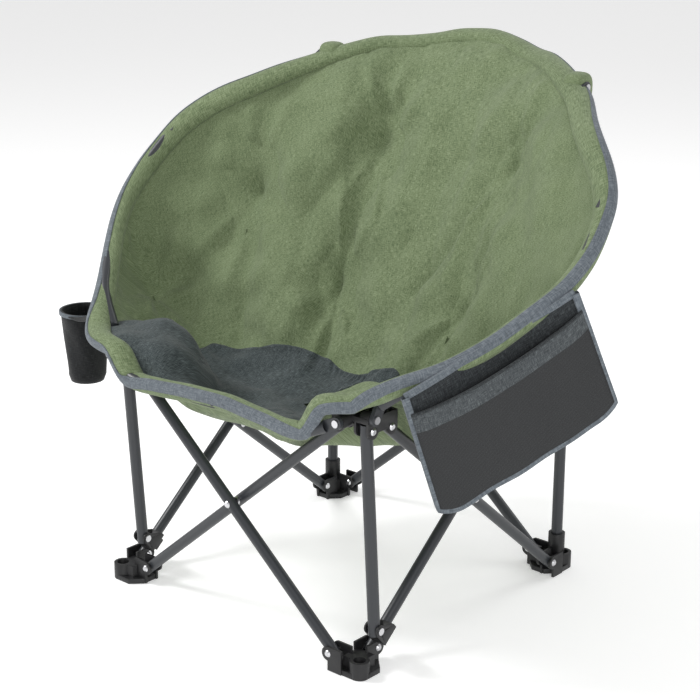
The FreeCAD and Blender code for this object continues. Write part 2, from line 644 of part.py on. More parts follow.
def rim_point(turn_angle):
    x = sum(h[0] * math.sin(k * turn_angle) for k, h in enumerate(HARMONICS))
    y = sum(h[1] * math.cos(k * turn_angle) for k, h in enumerate(HARMONICS))
    z = sum(h[2] * math.cos(k * turn_angle) for k, h in enumerate(HARMONICS))
    return Vector(x, y, z)


def smooth(value):
    value = min(1.0, max(0.0, value))
    return value * value * (3.0 - 2.0 * value)


def bowl_height(turn_angle, fraction):
    """Share of the rim's rise reached at a share of the way out to the rim."""
    around = abs(math.degrees(turn_angle))
    power = 2.0 + 1.3 * smooth(around / 90.0)
    back = smooth((around - 80.0) / 65.0)
    wall = 2.251 * fraction ** 2 - 0.396 * fraction ** 3 - 0.855 * fraction ** 4
    return (1.0 - back) * fraction ** power + back * wall


def lip_inset(turn_angle):
    """The lip lies further in beside the side hinges, whose laps are flat."""
    away = abs(abs(math.degrees(turn_angle)) - 99.0)
    return size("rim_inset") + 20.0 * (1.0 - smooth(away / 20.0))


def bowl_point(turn_angle, fraction):
    rim = rim_point(turn_angle)
    reach = rim - BOWL_CENTRE
    level = math.hypot(reach.x, reach.y)
    share = (level - lip_inset(turn_angle)) / level
    x = BOWL_CENTRE.x + reach.x * share * fraction
    y = BOWL_CENTRE.y + reach.y * share * fraction
    z = BOWL_CENTRE.z + reach.z * bowl_height(turn_angle, fraction)
    # the cover passes over the front hubs and the ends of the braces
    away = math.hypot(abs(x) - HUB_HUMP[0], y - HUB_HUMP[1])
    hump = 1.0 - smooth((away - HUB_HUMP[3]) / HUB_HUMP[4])
    return Vector(x, y, z + hump * max(0.0, HUB_HUMP[2] - z))


def bowl_normal(turn_angle, fraction):
    step = 0.01
    out = bowl_point(turn_angle, fraction + step) - bowl_point(turn_angle, max(fraction - step, 0.02))
    around = bowl_point(turn_angle + step, fraction) - bowl_point(turn_angle - step, fraction)
    return around.cross(out).normalize() * -1


def padding(fraction):
    return size("bowl_thickness") * (1.0 - 0.3 * smooth((fraction - 0.6) / 0.3))


def padded_point(turn_angle, fraction, share):
    """A point a share of the padding below its upper face, drawn in at the tufts."""
    base = bowl_point(turn_angle, fraction)
    depth = share * padding(fraction)
    dip = 0.0
    for x, y in TUFTS:
        near = math.hypot(abs(base.x) - x, base.y - y) / TUFT_REACH
        dip += TUFT_DEPTH * math.exp(-near * near)
    return base - bowl_normal(turn_angle, fraction) * (depth + (dip if depth == 0 else -dip * 0.4))


def ring_wire(points, level=False):
    if level:
        height = sum(p.z for p in points) / len(points)
        points = [Vector(p.x, p.y, height) for p in points]
    edges = []
    count = len(points)
    for index in range(0, count, 2):
        trio = [points[index], points[index + 1], points[(index + 2) % count]]
        edges.append(Part.Arc(*trio).toShape())
    return Part.Wire(edges)


ANGLES = [math.radians(15.0 * step - (360.0 if step > 12 else 0.0)) for step in range(24)]
SHARES = (0.12, 0.32, 0.50, 0.64, 0.76, 0.87, 0.985)


def lofted(name, loops):
    last = len(loops) - 1
    wires = [ring_wire(loop, index in (0, last)) for index, loop in enumerate(loops)]
    feature = doc.addObject("Part::Feature", name)
    feature.Shape = Part.makeLoft(wires, True, True)
    return feature


def make_bowl():
    loops = []
    for fraction in SHARES:
        loops.append([padded_point(a, fraction, 0.0) for a in ANGLES])
    loops.append([padded_point(a, 1.0, 0.5) for a in ANGLES])
    for fraction in reversed(SHARES):
        loops.append([padded_point(a, fraction, 1.0) for a in ANGLES])
    node(lofted("padded_bowl", loops), "padded_bowl")


# Seat patch: a second sewn layer that follows the bowl inside its own outline
PATCH_OUTLINE = ((0.0, -262.0), (90.0, -264.0), (160.0, -260.0), (196.0, -236.0), (218.0, -180.0), (214.0, -90.0),
                 (180.0, 10.0), (110.0, 62.0), (0.0, 78.0))
PATCH_GAP, PATCH_LAYER = 9.0, 4.0


def ruled_point(turn_angle, fraction):
    """A point of the bowl's upper face as it is built, straight between its rings."""
    low = max(share for share in SHARES[:-1] if share <= max(fraction, SHARES[0]))
    high = SHARES[SHARES.index(low) + 1]
    mix = (fraction - low) / (high - low)
    return padded_point(turn_angle, low, 0.0) * (1.0 - mix) + padded_point(turn_angle, high, 0.0) * mix


def patch_reach(turn_angle):
    """Share of the way to the bowl's lip at which the patch's outline is met."""
    lip = bowl_point(turn_angle, 1.0) - BOWL_CENTRE
    ray_x, ray_y = abs(lip.x), lip.y
    best = 0.9
    for (ax, ay), (bx, by) in zip(PATCH_OUTLINE[:-1], PATCH_OUTLINE[1:]):
        ax, ay, bx, by = ax, ay - BOWL_CENTRE.y, bx, by - BOWL_CENTRE.y
        side_a = ray_x * ay - ray_y * ax
        side_b = ray_x * by - ray_y * bx
        if side_a * side_b <= 0 and side_a != side_b:
            mix = side_a / (side_a - side_b)
            hit_x, hit_y = ax + mix * (bx - ax), ay + mix * (by - ay)
            if hit_x * ray_x + hit_y * ray_y > 0:
                best = math.hypot(hit_x, hit_y) / math.hypot(ray_x, ray_y)
    return best


def make_seat_patch():
    def lifted(lift, part):
        points = []
        for angle in ANGLES:
            fraction = part * patch_reach(angle)
            points.append(ruled_point(angle, fraction) + bowl_normal(angle, fraction) * lift)
        return points

    parts = (0.3, 0.55, 0.74, 0.88)
    loops = [lifted(PATCH_GAP + PATCH_LAYER, part) for part in parts]
    loops.append(lifted(PATCH_GAP + 0.4 * PATCH_LAYER, 1.0))
    loops += [lifted(PATCH_GAP, part) for part in reversed(parts)]
    node(lofted("seat_patch", loops), "seat_patch")


# Side pocket: a hanging panel outside the right rim and a pouch sewn on it
def hanging_sheet(name, corners, thickness, bow=0.0):
    top_front, top_rear, low_rear, low_front = [Vector(*c) for c in corners]
    out = (top_rear - top_front).cross(low_front - top_front).normalize()
    out = out if out.x > 0 else out * -1
    sections = []
    for share in (0.0, 0.5, 1.0):
        top = top_front + (top_rear - top_front) * share
        low = low_front + (low_rear - low_front) * share
        swell = out * (bow * math.sin(math.pi * share))
        points = [top + swell, low, low + out * thickness, top + swell + out * thickness]
        sections.append(Part.makePolygon(points + points[:1]))
    feature = doc.addObject("Part::Feature", name)
    feature.Shape = Part.makeLoft(sections, True, True)
    return node(feature, name), out


POCKET_CORNERS = ((330.0, -250.0, 425.0), (476.0, -45.0, 562.0), (492.0, 30.0, 388.0), (352.0, -182.0, 258.0))
POUCH_DROP, POUCH_GAP, POUCH_BOW = 46.0, 3.0, 20.0


def make_pocket():
    panel, out = hanging_sheet("pocket_panel", POCKET_CORNERS, 3.0)
    tf, tr, lr, lf = [Vector(*c) for c in POCKET_CORNERS]
    lift = out * (3.0 + POUCH_GAP)
    down_front = (lf - tf).normalize() * POUCH_DROP
    down_rear = (lr - tr).normalize() * POUCH_DROP
    hanging_sheet("pocket_pouch", [tuple(tf + down_front + lift), tuple(tr + down_rear + lift),
                                   tuple(lr + out * 3.3), tuple(lf + out * 3.3)], 2.5, POUCH_BOW)


# Cup holder: an open tapered pouch that hangs from the left side tube
CUP_TOP = (-410.0, -178.0, 402.0)
CUP_RADIUS, CUP_FLOOR_RADIUS, CUP_DEPTH, CUP_WALL = 40.0, 31.0, 120.0, 3.0


def make_cup_holder():
    foot = Vector(*CUP_TOP) - Vector(0, 0, CUP_DEPTH)

    def pouch(name, shrink, floor, height):
        cone = doc.addObject("Part::Cone", name)
        bind(cone, Radius1=str(CUP_FLOOR_RADIUS - shrink), Radius2=str(CUP_RADIUS - shrink), Height=str(height))
        cone.Placement = Placement(foot + Vector(0, 0, floor), Rotation())
        return cone

    outer = pouch("cup_holder_outer", 0.0, 0.0, CUP_DEPTH)
    inner = pouch("cup_holder_inner", CUP_WALL, CUP_WALL, CUP_DEPTH)
    node(cut("cup_holder", outer, [inner]), "cup_holder")


def build():
    make_braces()
    for quarter, corner in enumerate(CORNERS):
        make_foot(quarter, corner)
    make_front_hub("front_right", 1, 1)
    make_front_hub("front_left", -1, -1)
    make_rear_hub(1, "rear_right")
    make_rear_hub(2, "rear_left")
    for corner, quarter_x in (("front_right", 1), ("front_left", -1)):
        make_front_post(corner, quarter_x)
        make_clip(corner, quarter_x)
    make_rear_post(1, "rear_right")
    make_rear_post(2, "rear_left")
    make_ring()
    make_bowl()
    make_seat_patch()
    make_pocket()
    make_cup_holder()
    doc.recompute()


def centre_on_box():
    """Moves the whole chair so that its box stands centred on the origin."""
    whole = FreeCAD.BoundBox()
    for feature in NODES:
        # points of the surface, since a curved face's own box is loose
        for point in feature.Shape.tessellate(0.3)[0]:
            whole.add(point)
    shift = Vector(-whole.Center.x, -whole.Center.y, -whole.ZMin)
    for feature in NODES:
        move = feature.Placement
        move.Base = move.Base + shift
        feature.Placement = move
    doc.recompute()
    return shift


def check_document():
    for thing in doc.Objects:
        if "Invalid" in thing.State or "Error" in thing.State:
            raise RuntimeError("failed feature: " + thing.Name)
    bad = [feature.Label for feature in NODES
           if feature.Shape.isNull() or not feature.Shape.isValid() or not feature.Shape.Solids]
    if bad:
        raise RuntimeError("bad shapes: " + ", ".join(bad))


def export_nodes():
    os.makedirs("parts", exist_ok=True)
    for feature in NODES:
        feature.Shape.exportStep(os.path.join("parts", feature.Label + ".step"))


build()
SHIFT = centre_on_box()
check_document()
export_nodes()
print("nodes", len(NODES), "shift", tuple(round(v, 3) for v in SHIFT))
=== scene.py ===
import bpy
import math
import json
import numpy as np
from mathutils import Vector, Matrix, noise

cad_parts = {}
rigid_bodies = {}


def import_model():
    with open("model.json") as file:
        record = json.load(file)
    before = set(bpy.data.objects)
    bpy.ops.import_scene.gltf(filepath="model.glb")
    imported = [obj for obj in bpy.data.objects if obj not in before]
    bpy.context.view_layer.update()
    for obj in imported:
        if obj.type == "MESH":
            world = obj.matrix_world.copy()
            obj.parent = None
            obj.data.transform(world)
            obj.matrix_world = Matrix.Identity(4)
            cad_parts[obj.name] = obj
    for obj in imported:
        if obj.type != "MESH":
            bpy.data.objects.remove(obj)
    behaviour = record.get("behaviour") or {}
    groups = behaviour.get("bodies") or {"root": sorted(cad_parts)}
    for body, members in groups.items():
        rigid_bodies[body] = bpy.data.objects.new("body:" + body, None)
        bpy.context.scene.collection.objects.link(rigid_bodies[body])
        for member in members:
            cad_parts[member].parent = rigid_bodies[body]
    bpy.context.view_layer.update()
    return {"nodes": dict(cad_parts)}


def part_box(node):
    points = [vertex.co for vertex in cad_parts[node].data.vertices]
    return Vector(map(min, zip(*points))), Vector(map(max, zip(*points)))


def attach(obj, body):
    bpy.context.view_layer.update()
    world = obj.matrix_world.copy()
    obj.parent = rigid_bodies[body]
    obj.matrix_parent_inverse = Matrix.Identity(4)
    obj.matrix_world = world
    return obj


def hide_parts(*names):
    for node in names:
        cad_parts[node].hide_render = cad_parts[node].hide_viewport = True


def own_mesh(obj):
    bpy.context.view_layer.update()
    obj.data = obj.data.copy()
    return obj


bpy.ops.object.select_all(action="SELECT")
bpy.ops.object.delete()
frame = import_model()
nodes = frame["nodes"]
low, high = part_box("post_rear_right")
SHIFT = Vector(((low.x + high.x) / 2 - 0.245, (low.y + high.y) / 2 - 0.245, 0.0))
scene = bpy.context.scene


# Shader helpers
def material(name, slot_name, base, rough=0.6, metal=0.0):
    mat = bpy.data.materials.new(name)
    mat.use_nodes = True
    mat["slot"] = slot_name
    shader = mat.node_tree.nodes["Principled BSDF"]
    shader.inputs["Base Color"].default_value = (*base, 1.0)
    shader.inputs["Roughness"].default_value = rough
    shader.inputs["Metallic"].default_value = metal
    return mat, mat.node_tree, shader


def link(tree, a, b):
    tree.links.new(a, b)


def mapped(tree, coords, scale, rotate=0.0):
    place = tree.nodes.new("ShaderNodeMapping")
    place.inputs["Scale"].default_value = scale
    place.inputs["Rotation"].default_value = (0, 0, rotate)
    link(tree, coords, place.inputs["Vector"])
    return place.outputs["Vector"]


def noise_of(tree, vector, scale, detail=3.0, rough=0.5):
    tex = tree.nodes.new("ShaderNodeTexNoise")
    tex.inputs["Scale"].default_value = scale
    tex.inputs["Detail"].default_value = detail
    tex.inputs["Roughness"].default_value = rough
    link(tree, vector, tex.inputs["Vector"])
    return tex.outputs["Fac"]


def maths(tree, kind, a, b):
    step = tree.nodes.new("ShaderNodeMath")
    step.operation = kind
    for socket, value in zip(step.inputs, (a, b)):
        if isinstance(value, (int, float)):
            socket.default_value = value
        else:
            link(tree, value, socket)
    return step.outputs[0]


def ramp(tree, fac, stops):
    step = tree.nodes.new("ShaderNodeValToRGB")
    elements = step.color_ramp.elements
    while len(elements) < len(stops):
        elements.new(0.5)
    for element, (at, colour) in zip(elements, stops):
        element.position = at
        element.color = (*colour, 1.0)
    link(tree, fac, step.inputs["Fac"])
    return step.outputs["Color"]


# Melange canvas: light and dark threads run both ways, over a fine plain weave
def canvas(name, slot_name, dark, mid, light, thread=1.0, bump=0.35, rough=0.88):
    mat, tree, shader = material(name, slot_name, mid, rough)
    uv = tree.nodes.new("ShaderNodeTexCoord").outputs["UV"]
    warp = noise_of(tree, mapped(tree, uv, (1100 * thread, 90, 1)), 1.0, 2.0)
    weft = noise_of(tree, mapped(tree, uv, (110, 1000 * thread, 1)), 1.0, 2.0)
    broad = noise_of(tree, mapped(tree, uv, (14, 14, 1)), 1.0, 2.0)
    mixed = maths(tree, "ADD", maths(tree, "MULTIPLY", warp, 0.45), maths(tree, "MULTIPLY", weft, 0.45))
    mixed = maths(tree, "ADD", mixed, maths(tree, "MULTIPLY", broad, 0.10))
    colour = ramp(tree, mixed, ((0.36, dark), (0.5, mid), (0.64, light)))
    link(tree, colour, shader.inputs["Base Color"])
    wave_a = tree.nodes.new("ShaderNodeTexWave")
    wave_b = tree.nodes.new("ShaderNodeTexWave")
    wave_a.bands_direction, wave_b.bands_direction = "X", "Y"
    for wave in (wave_a, wave_b):
        wave.inputs["Scale"].default_value = 330.0
        link(tree, uv, wave.inputs["Vector"])
    weave = maths(tree, "MULTIPLY", wave_a.outputs["Fac"], wave_b.outputs["Fac"])
    height = maths(tree, "ADD", maths(tree, "MULTIPLY", weave, 0.5), maths(tree, "MULTIPLY", mixed, 1.0))
    bump_node = tree.nodes.new("ShaderNodeBump")
    bump_node.inputs["Strength"].default_value = bump
    bump_node.inputs["Distance"].default_value = 0.0006
    link(tree, height, bump_node.inputs["Height"])
    link(tree, bump_node.outputs["Normal"], shader.inputs["Normal"])
    shader.inputs["Specular IOR Level"].default_value = 0.25
    if "Sheen Weight" in shader.inputs:
        shader.inputs["Sheen Weight"].default_value = 0.12
        shader.inputs["Sheen Roughness"].default_value = 0.5
    return mat


green = canvas("green_melange", "bowl_fabric", (0.085, 0.118, 0.056), (0.158, 0.205, 0.106), (0.27, 0.325, 0.19))
slate = canvas("slate_melange", "seat_fabric", (0.02, 0.026, 0.027), (0.052, 0.065, 0.067), (0.12, 0.145, 0.148))
slate_dark = canvas("slate_dark", "pocket_fabric", (0.012, 0.014, 0.016), (0.03, 0.034, 0.037), (0.07, 0.08, 0.083))
hem_cloth = canvas("hem_cloth", "pocket_fabric", (0.03, 0.034, 0.037), (0.06, 0.068, 0.073), (0.13, 0.145, 0.15))
binding = canvas("binding_tape", "seat_fabric", (0.075, 0.088, 0.1), (0.125, 0.145, 0.165), (0.19, 0.215, 0.235),
                 thread=0.6, bump=0.5)
black_cloth = canvas("black_cloth", "pocket_fabric", (0.006, 0.006, 0.007), (0.012, 0.013, 0.014), (0.028, 0.03, 0.032))

mesh_mat, tree, shader = material("net_mesh", "pocket_fabric", (0.012, 0.013, 0.014), 0.7)
uv = tree.nodes.new("ShaderNodeTexCoord").outputs["UV"]
cells = tree.nodes.new("ShaderNodeTexVoronoi")
cells.inputs["Scale"].default_value = 620.0
cells.inputs["Randomness"].default_value = 0.15
link(tree, uv, cells.inputs["Vector"])
tone = ramp(tree, cells.outputs["Distance"], ((0.0, (0.003, 0.003, 0.004)), (0.42, (0.012, 0.013, 0.014)), (0.6, (0.04, 0.043, 0.046))))
link(tree, tone, shader.inputs["Base Color"])
bump_node = tree.nodes.new("ShaderNodeBump")
bump_node.inputs["Distance"].default_value = 0.0005
link(tree, cells.outputs["Distance"], bump_node.inputs["Height"])
link(tree, bump_node.outputs["Normal"], shader.inputs["Normal"])


def metal_paint(name, slot_name, base, rough, bump, scale):
    mat, tree, shader = material(name, slot_name, base, rough)
    where = tree.nodes.new("ShaderNodeTexCoord").outputs["Object"]
    fine = noise_of(tree, where, scale, 4.0)
    link(tree, maths(tree, "ADD", maths(tree, "MULTIPLY", fine, 0.16), rough - 0.08), shader.inputs["Roughness"])
    node = tree.nodes.new("ShaderNodeBump")
    node.inputs["Strength"].default_value = bump
    node.inputs["Distance"].default_value = 0.0002
    link(tree, fine, node.inputs["Height"])
    link(tree, node.outputs["Normal"], shader.inputs["Normal"])
    return mat


tube_mat = metal_paint("powder_coat", "frame_tube", (0.030, 0.033, 0.038), 0.38, 0.25, 900.0)
plastic_mat = metal_paint("black_plastic", "black_plastic", (0.010, 0.010, 0.011), 0.48, 0.3, 1400.0)
rivet_mat, _, _ = material("zinc", "rivet", (0.62, 0.62, 0.64), 0.28, 1.0)


# The rim and the bowl share one set of formulas, in millimetres of the open frame
RIM_POINTS = ((0.0, -292.0, 364.0), (115.0, -296.0, 365.0), (196.0, -296.0, 366.0), (258.0, -272.0, 418.0),
              (330.0, -215.0, 450.0), (410.0, -125.0, 515.0), (457.0, -33.0, 582.0), (438.0, 51.0, 664.0),
              (366.0, 137.0, 730.0), (274.0, 226.0, 778.0), (183.0, 301.0, 804.0), (94.0, 346.0, 819.0),
              (0.0, 360.0, 828.0))
CENTRE = np.array((0.0, -70.0, 296.0))
full = list(RIM_POINTS) + [(-x, y, z) for x, y, z in RIM_POINTS[11:0:-1]]
around = np.arange(24) * math.pi / 12
HARMONICS = []
for k in range(12):
    share = (1.0 if k == 0 else 2.0) / 24
    xs, ys, zs = np.array(full).T
    HARMONICS.append((k, share * np.sum(xs * np.sin(k * around)), share * np.sum(ys * np.cos(k * around)),
                      share * np.sum(zs * np.cos(k * around))))


def smooth(v):
    v = np.clip(v, 0.0, 1.0)
    return v * v * (3.0 - 2.0 * v)


def rim(turn):
    turn = np.asarray(turn, float)
    x = sum(h[1] * np.sin(h[0] * turn) for h in HARMONICS)
    y = sum(h[2] * np.cos(h[0] * turn) for h in HARMONICS)
    z = sum(h[3] * np.cos(h[0] * turn) for h in HARMONICS)
    # on the left the cover hangs a little in front of the hub
    dip = np.exp(-((turn + math.radians(46.0)) / math.radians(13.0)) ** 2)
    dip += np.exp(-((turn - 2 * math.pi + math.radians(46.0)) / math.radians(13.0)) ** 2)
    # the sleeve swells over the ring's side hinges and rear corners
    deg = np.abs(np.degrees((turn + math.pi) % (2 * math.pi) - math.pi))
    swell = 9.0 * np.exp(-((deg - 135.0) / 8.0) ** 2) + 11.0 * np.exp(-((deg - 108.0) / 9.0) ** 2)
    level = np.hypot(x, y + 70.0)
    return np.stack([x - 17.0 * dip + swell * x / level, y - 15.0 * dip + swell * (y + 70.0) / level,
                     z - 18.0 * dip], -1)


TUFTS = ((-286.0, 75.0), (-360.0, -67.0), (-87.0, 71.0), (-97.0, 196.0), (164.0, 162.0), (164.0, 48.0))
# Folds between tufts, as pairs of tufts and a depth, and folds that run out from one tuft
CREASES = [(TUFTS[a], TUFTS[b], depth) for a, b, depth in
           ((0, 2, 1.1), (0, 1, 0.8), (3, 2, 1.1), (4, 5, 1.0), (5, 2, 0.5), (3, 4, 0.5), (0, 3, 0.6))]
CREASES += [(TUFTS[a], end, depth) for a, end, depth in
            ((0, (-378.0, 48.0), 0.9), (0, (-222.0, -20.0), 1.0), (3, (-170.0, 100.0), 1.0), (4, (52.0, 96.0), 1.1),
             (5, (118.0, -22.0), 0.9), (4, (250.0, 120.0), 0.7), (2, (-60.0, 10.0), 0.8))]


def segment_distance(x, y, a, b):
    dx, dy = b[0] - a[0], b[1] - a[1]
    t = np.clip(((x - a[0]) * dx + (y - a[1]) * dy) / (dx * dx + dy * dy), 0, 1)
    return np.hypot(x - a[0] - t * dx, y - a[1] - t * dy), t


def bowl(turn, f, inset):
    turn = np.asarray(turn, float)
    r = rim(turn)
    d = r - CENTRE
    level = np.hypot(d[..., 0], d[..., 1])
    share = (level - inset) / level
    x = CENTRE[0] + d[..., 0] * share * f
    y = CENTRE[1] + d[..., 1] * share * f
    deg = np.abs(np.degrees((turn + math.pi) % (2 * math.pi) - math.pi))
    power = 2.0 + 1.3 * smooth(deg / 90.0)
    back = smooth((deg - 80.0) / 65.0)
    wall = 2.251 * f ** 2 - 0.396 * f ** 3 - 0.855 * f ** 4
    z = CENTRE[2] + d[..., 2] * ((1 - back) * f ** power + back * wall)
    away = np.hypot(np.abs(x) - 222.0, y + 222.0)
    hump = 1.0 - smooth((away - 34.0) / 95.0)
    hump = hump * (1.0 - smooth((f - 0.86) / 0.12) * (1.0 - smooth((deg - 27.0) / 8.0)))
    return np.stack([x, y, z + hump * np.maximum(0.0, 414.0 - z)], -1)


def padding_offset(x, y, f):
    """How far the stuffed face stands above the plain bowl, in millimetres."""
    up = np.zeros_like(x)
    for a, b, depth in CREASES:
        dist, t = segment_distance(x, y, a, b)
        up -= 8.5 * depth * np.exp(-(dist / 8.0) ** 2) * (0.35 + 0.65 * np.abs(2 * t - 1))
        up -= 10.0 * depth * np.exp(-(dist / 30.0) ** 2)
    for index, (tx, ty) in enumerate(TUFTS):
        dist = np.hypot(x - tx, y - ty)
        angle = np.arctan2(y - ty, x - tx)
        up -= 12.0 * np.exp(-(dist / 15.0) ** 2) + 14.0 * np.exp(-(dist / 50.0) ** 2)
        rays = 1.0 - 2.0 * np.abs(np.cos(angle * 3.5 + index * 1.7)) ** 0.6
        up += 6.5 * rays * np.exp(-((dist - 42.0) / 36.0) ** 2)
    return up


def grid_object(name, points, material_list, uvs, close_u=True, face_material=None):
    rows, cols = points.shape[:2]
    verts = (points.reshape(-1, 3) / 1000.0) + np.array(SHIFT)
    faces, loops = [], []
    for i in range(rows - 1):
        for j in range(cols if close_u else cols - 1):
            k = (j + 1) % cols
            faces.append((i * cols + j, i * cols + k, (i + 1) * cols + k, (i + 1) * cols + j))
            jj = j + 1
            loops += [uvs(i, j), uvs(i, jj), uvs(i + 1, jj), uvs(i + 1, j)]
    mesh = bpy.data.meshes.new(name)
    mesh.from_pydata([tuple(v) for v in verts], [], faces)
    layer = mesh.uv_layers.new(name="UVMap")
    layer.data.foreach_set("uv", np.array(loops, np.float32).ravel())
    mesh.polygons.foreach_set("use_smooth", [True] * len(faces))
    for mat in material_list:
        mesh.materials.append(mat)
    if face_material is not None:
        mesh.polygons.foreach_set("material_index", [face_material(n // (cols if close_u else cols - 1),
                                  n % (cols if close_u else cols - 1)) for n in range(len(faces))])
    mesh.update()
    obj = bpy.data.objects.new(name, mesh)
    scene.collection.objects.link(obj)
    return obj


def field(x, y, z, scale, seed):
    return np.array([noise.noise(Vector((a * scale + seed, b * scale, c * scale))) for a, b, c in
                     zip(x.ravel(), y.ravel(), z.ravel())]).reshape(x.shape)


TURNS = 300
ROWS = 76
turns = np.arange(TURNS) * 2 * math.pi / TURNS


def normals_of(surface):
    du = np.roll(surface, -1, 1) - np.roll(surface, 1, 1)
    dv = np.gradient(surface, axis=0)
    n = np.cross(du, dv)
    n /= np.maximum(np.linalg.norm(n, axis=-1, keepdims=True), 1e-9)
    n[n[..., 2].mean(1) < 0] *= -1
    return n


INSET = 13.0
fractions = np.linspace(0.03, 1.0, ROWS)
T, F = np.meshgrid(turns, fractions)
plain = bowl(T, F, INSET)
normal = normals_of(plain)
if normal[ROWS // 2, :, 2].mean() < 0:
    normal = -normal
X, Y, Z = plain[..., 0], plain[..., 1], plain[..., 2]
edge_fade = smooth((1.0 - F) / 0.10)
puff = padding_offset(X, Y, F)
ridge = 1.0 - 2.2 * np.abs(field(X, Y * 0.5, Z * 0.45, 0.017, 31.0))
broad = field(X, Y, Z, 0.010, 3.0) * 15.0 + field(X, Y, Z, 0.026, 9.0) * 6.0 - 3.5 * np.maximum(ridge, 0) ** 6
ripple = field(np.degrees(T) * 1.0, F * 30, F * 0, 0.22, 5.0) * 3.0 * smooth((F - 0.7) / 0.25)
gather = 1.3 * np.cos(T * 57) * smooth((F - 0.90) / 0.08)
upper = plain + normal * ((puff + broad + ripple) * edge_fade + gather)[..., None]
over_hub = 1.0 - smooth((np.hypot(np.abs(X) - 222.0, Y + 222.0) - 34.0) / 60.0)
thickness = 15.0 * smooth((1.0 - F) / 0.25) * (1.0 - 0.6 * over_hub) + 4.0
lower = plain - normal * (thickness - 0.35 * (puff + broad) * edge_fade)[..., None]


def cloth_uv(p):
    """Lays the weave along the width and up the back, with room for the side walls."""
    return (p[0] * (1.0 + 0.9 * (p[0] / 430.0) ** 2) / 1000.0, (p[2] * 0.9 + p[1] * 0.8) / 1000.0)


shell = np.concatenate([upper, lower[::-1]], 0)
cover = grid_object("bowl_cover", shell, [green], lambda i, j: cloth_uv(shell[i, j % TURNS]))

# Seat patch: the slate panel sewn over the front of the seat, in plan
PATCH = ((-292.0, -350.0), (-276.0, -215.0), (-264.0, -120.0), (-248.0, -42.0), (-150.0, -12.0), (-43.0, 12.0),
         (94.0, 6.0), (160.0, -52.0), (196.0, -140.0), (182.0, -215.0), (150.0, -262.0), (136.0, -330.0))


def patch_reach(turn):
    lip = bowl(np.array(turn), np.array(0.999), INSET) - CENTRE
    best = 0.985
    for (ax, ay), (bx, by) in zip(PATCH, PATCH[1:] + PATCH[:1]):
        ax, ay, bx, by = ax, ay - CENTRE[1], bx, by - CENTRE[1]
        sa, sb = lip[0] * ay - lip[1] * ax, lip[0] * by - lip[1] * bx
        if sa * sb <= 0 and sa != sb:
            mix = sa / (sa - sb)
            hx, hy = ax + mix * (bx - ax), ay + mix * (by - ay)
            if hx * lip[0] + hy * lip[1] > 0:
                best = min(0.985, math.hypot(hx, hy) / math.hypot(lip[0], lip[1]))
    return best


def sample_upper(turn_index, f):
    g = np.clip((f - 0.03) / 0.97 * (ROWS - 1), 0, ROWS - 1.001)
    i = int(g)
    m = g - i
    return upper[i, turn_index] * (1 - m) + upper[i + 1, turn_index] * m, \
        normal[i, turn_index] * (1 - m) + normal[i + 1, turn_index] * m


reach_raw = np.array([patch_reach(t) for t in turns])
kernel = np.ones(5) / 5
reach_soft = np.convolve(np.concatenate([reach_raw[-8:], reach_raw, reach_raw[:8]]), kernel, "same")[8:-8]
PATCH_ROWS = 46
parts = np.linspace(0.05, 1.0, PATCH_ROWS)
patch_top = np.zeros((PATCH_ROWS, TURNS, 3))
for j in range(TURNS):
    for i, part in enumerate(parts):
        p, n = sample_upper(j, part * reach_soft[j])
        wave = 1.6 * math.sin(turns[j] * 41 + 0.7 * math.sin(turns[j] * 9))
        tuck = smooth((part - 0.80) / 0.16)
        lift = 5.0 * (1.0 - 0.72 * tuck) + wave * tuck * (1.0 if part < 0.99 else 0.2)
        patch_top[i, j] = p + n * (lift + 1.0)
low_edge = np.stack([sample_upper(j, reach_soft[j])[0] - 1.0 * sample_upper(j, reach_soft[j])[1] for j in range(TURNS)])
patch_points = np.concatenate([patch_top, low_edge[None]], 0)
bumps = field(patch_points[..., 0], patch_points[..., 1], patch_points[..., 2], 0.018, 21.0) * 4.0
patch_points[:PATCH_ROWS - 1, :, 2] += bumps[:PATCH_ROWS - 1] * (1 - smooth((parts[:-1, None] - 0.8) / 0.2)) + 0.6
patch = grid_object("seat_panel", patch_points, [slate], lambda i, j: cloth_uv(patch_points[i, j % TURNS]))


# A sleeve and a tape swept round the rim
def rim_frame(turn):
    here = bowl(turn, np.ones_like(turn), INSET)
    inner = bowl(turn, np.full_like(turn, 0.94), INSET)
    out = here - inner
    out[..., 2] *= 0.75
    out /= np.linalg.norm(out, axis=-1, keepdims=True)
    along = np.roll(here, -1, 0) - np.roll(here, 1, 0)
    along /= np.linalg.norm(along, axis=-1, keepdims=True)
    side = np.cross(along, out)
    side /= np.linalg.norm(side, axis=-1, keepdims=True)
    side[side[..., 2] < 0] *= -1
    return here, out, side


here, out, side = rim_frame(turns)


def swept(name, section, mats, inset, sizes, face_material=None, wobble=0.0):
    count = len(section)
    pts = np.zeros((count, TURNS, 3))
    shift = wobble * (np.sin(turns * 33) * 0.4 + np.sin(turns * 19 + 1.0) * 0.6)
    for i, (a, b) in enumerate(section):
        pts[i] = here + out * (a + inset + shift[:, None] * 0.5) + side * (b + shift[:, None])
    pts = np.concatenate([pts, pts[:1]], 0)
    return grid_object(name, pts, mats, lambda i, j: (j / TURNS * 2.4, i * sizes), True, face_material)


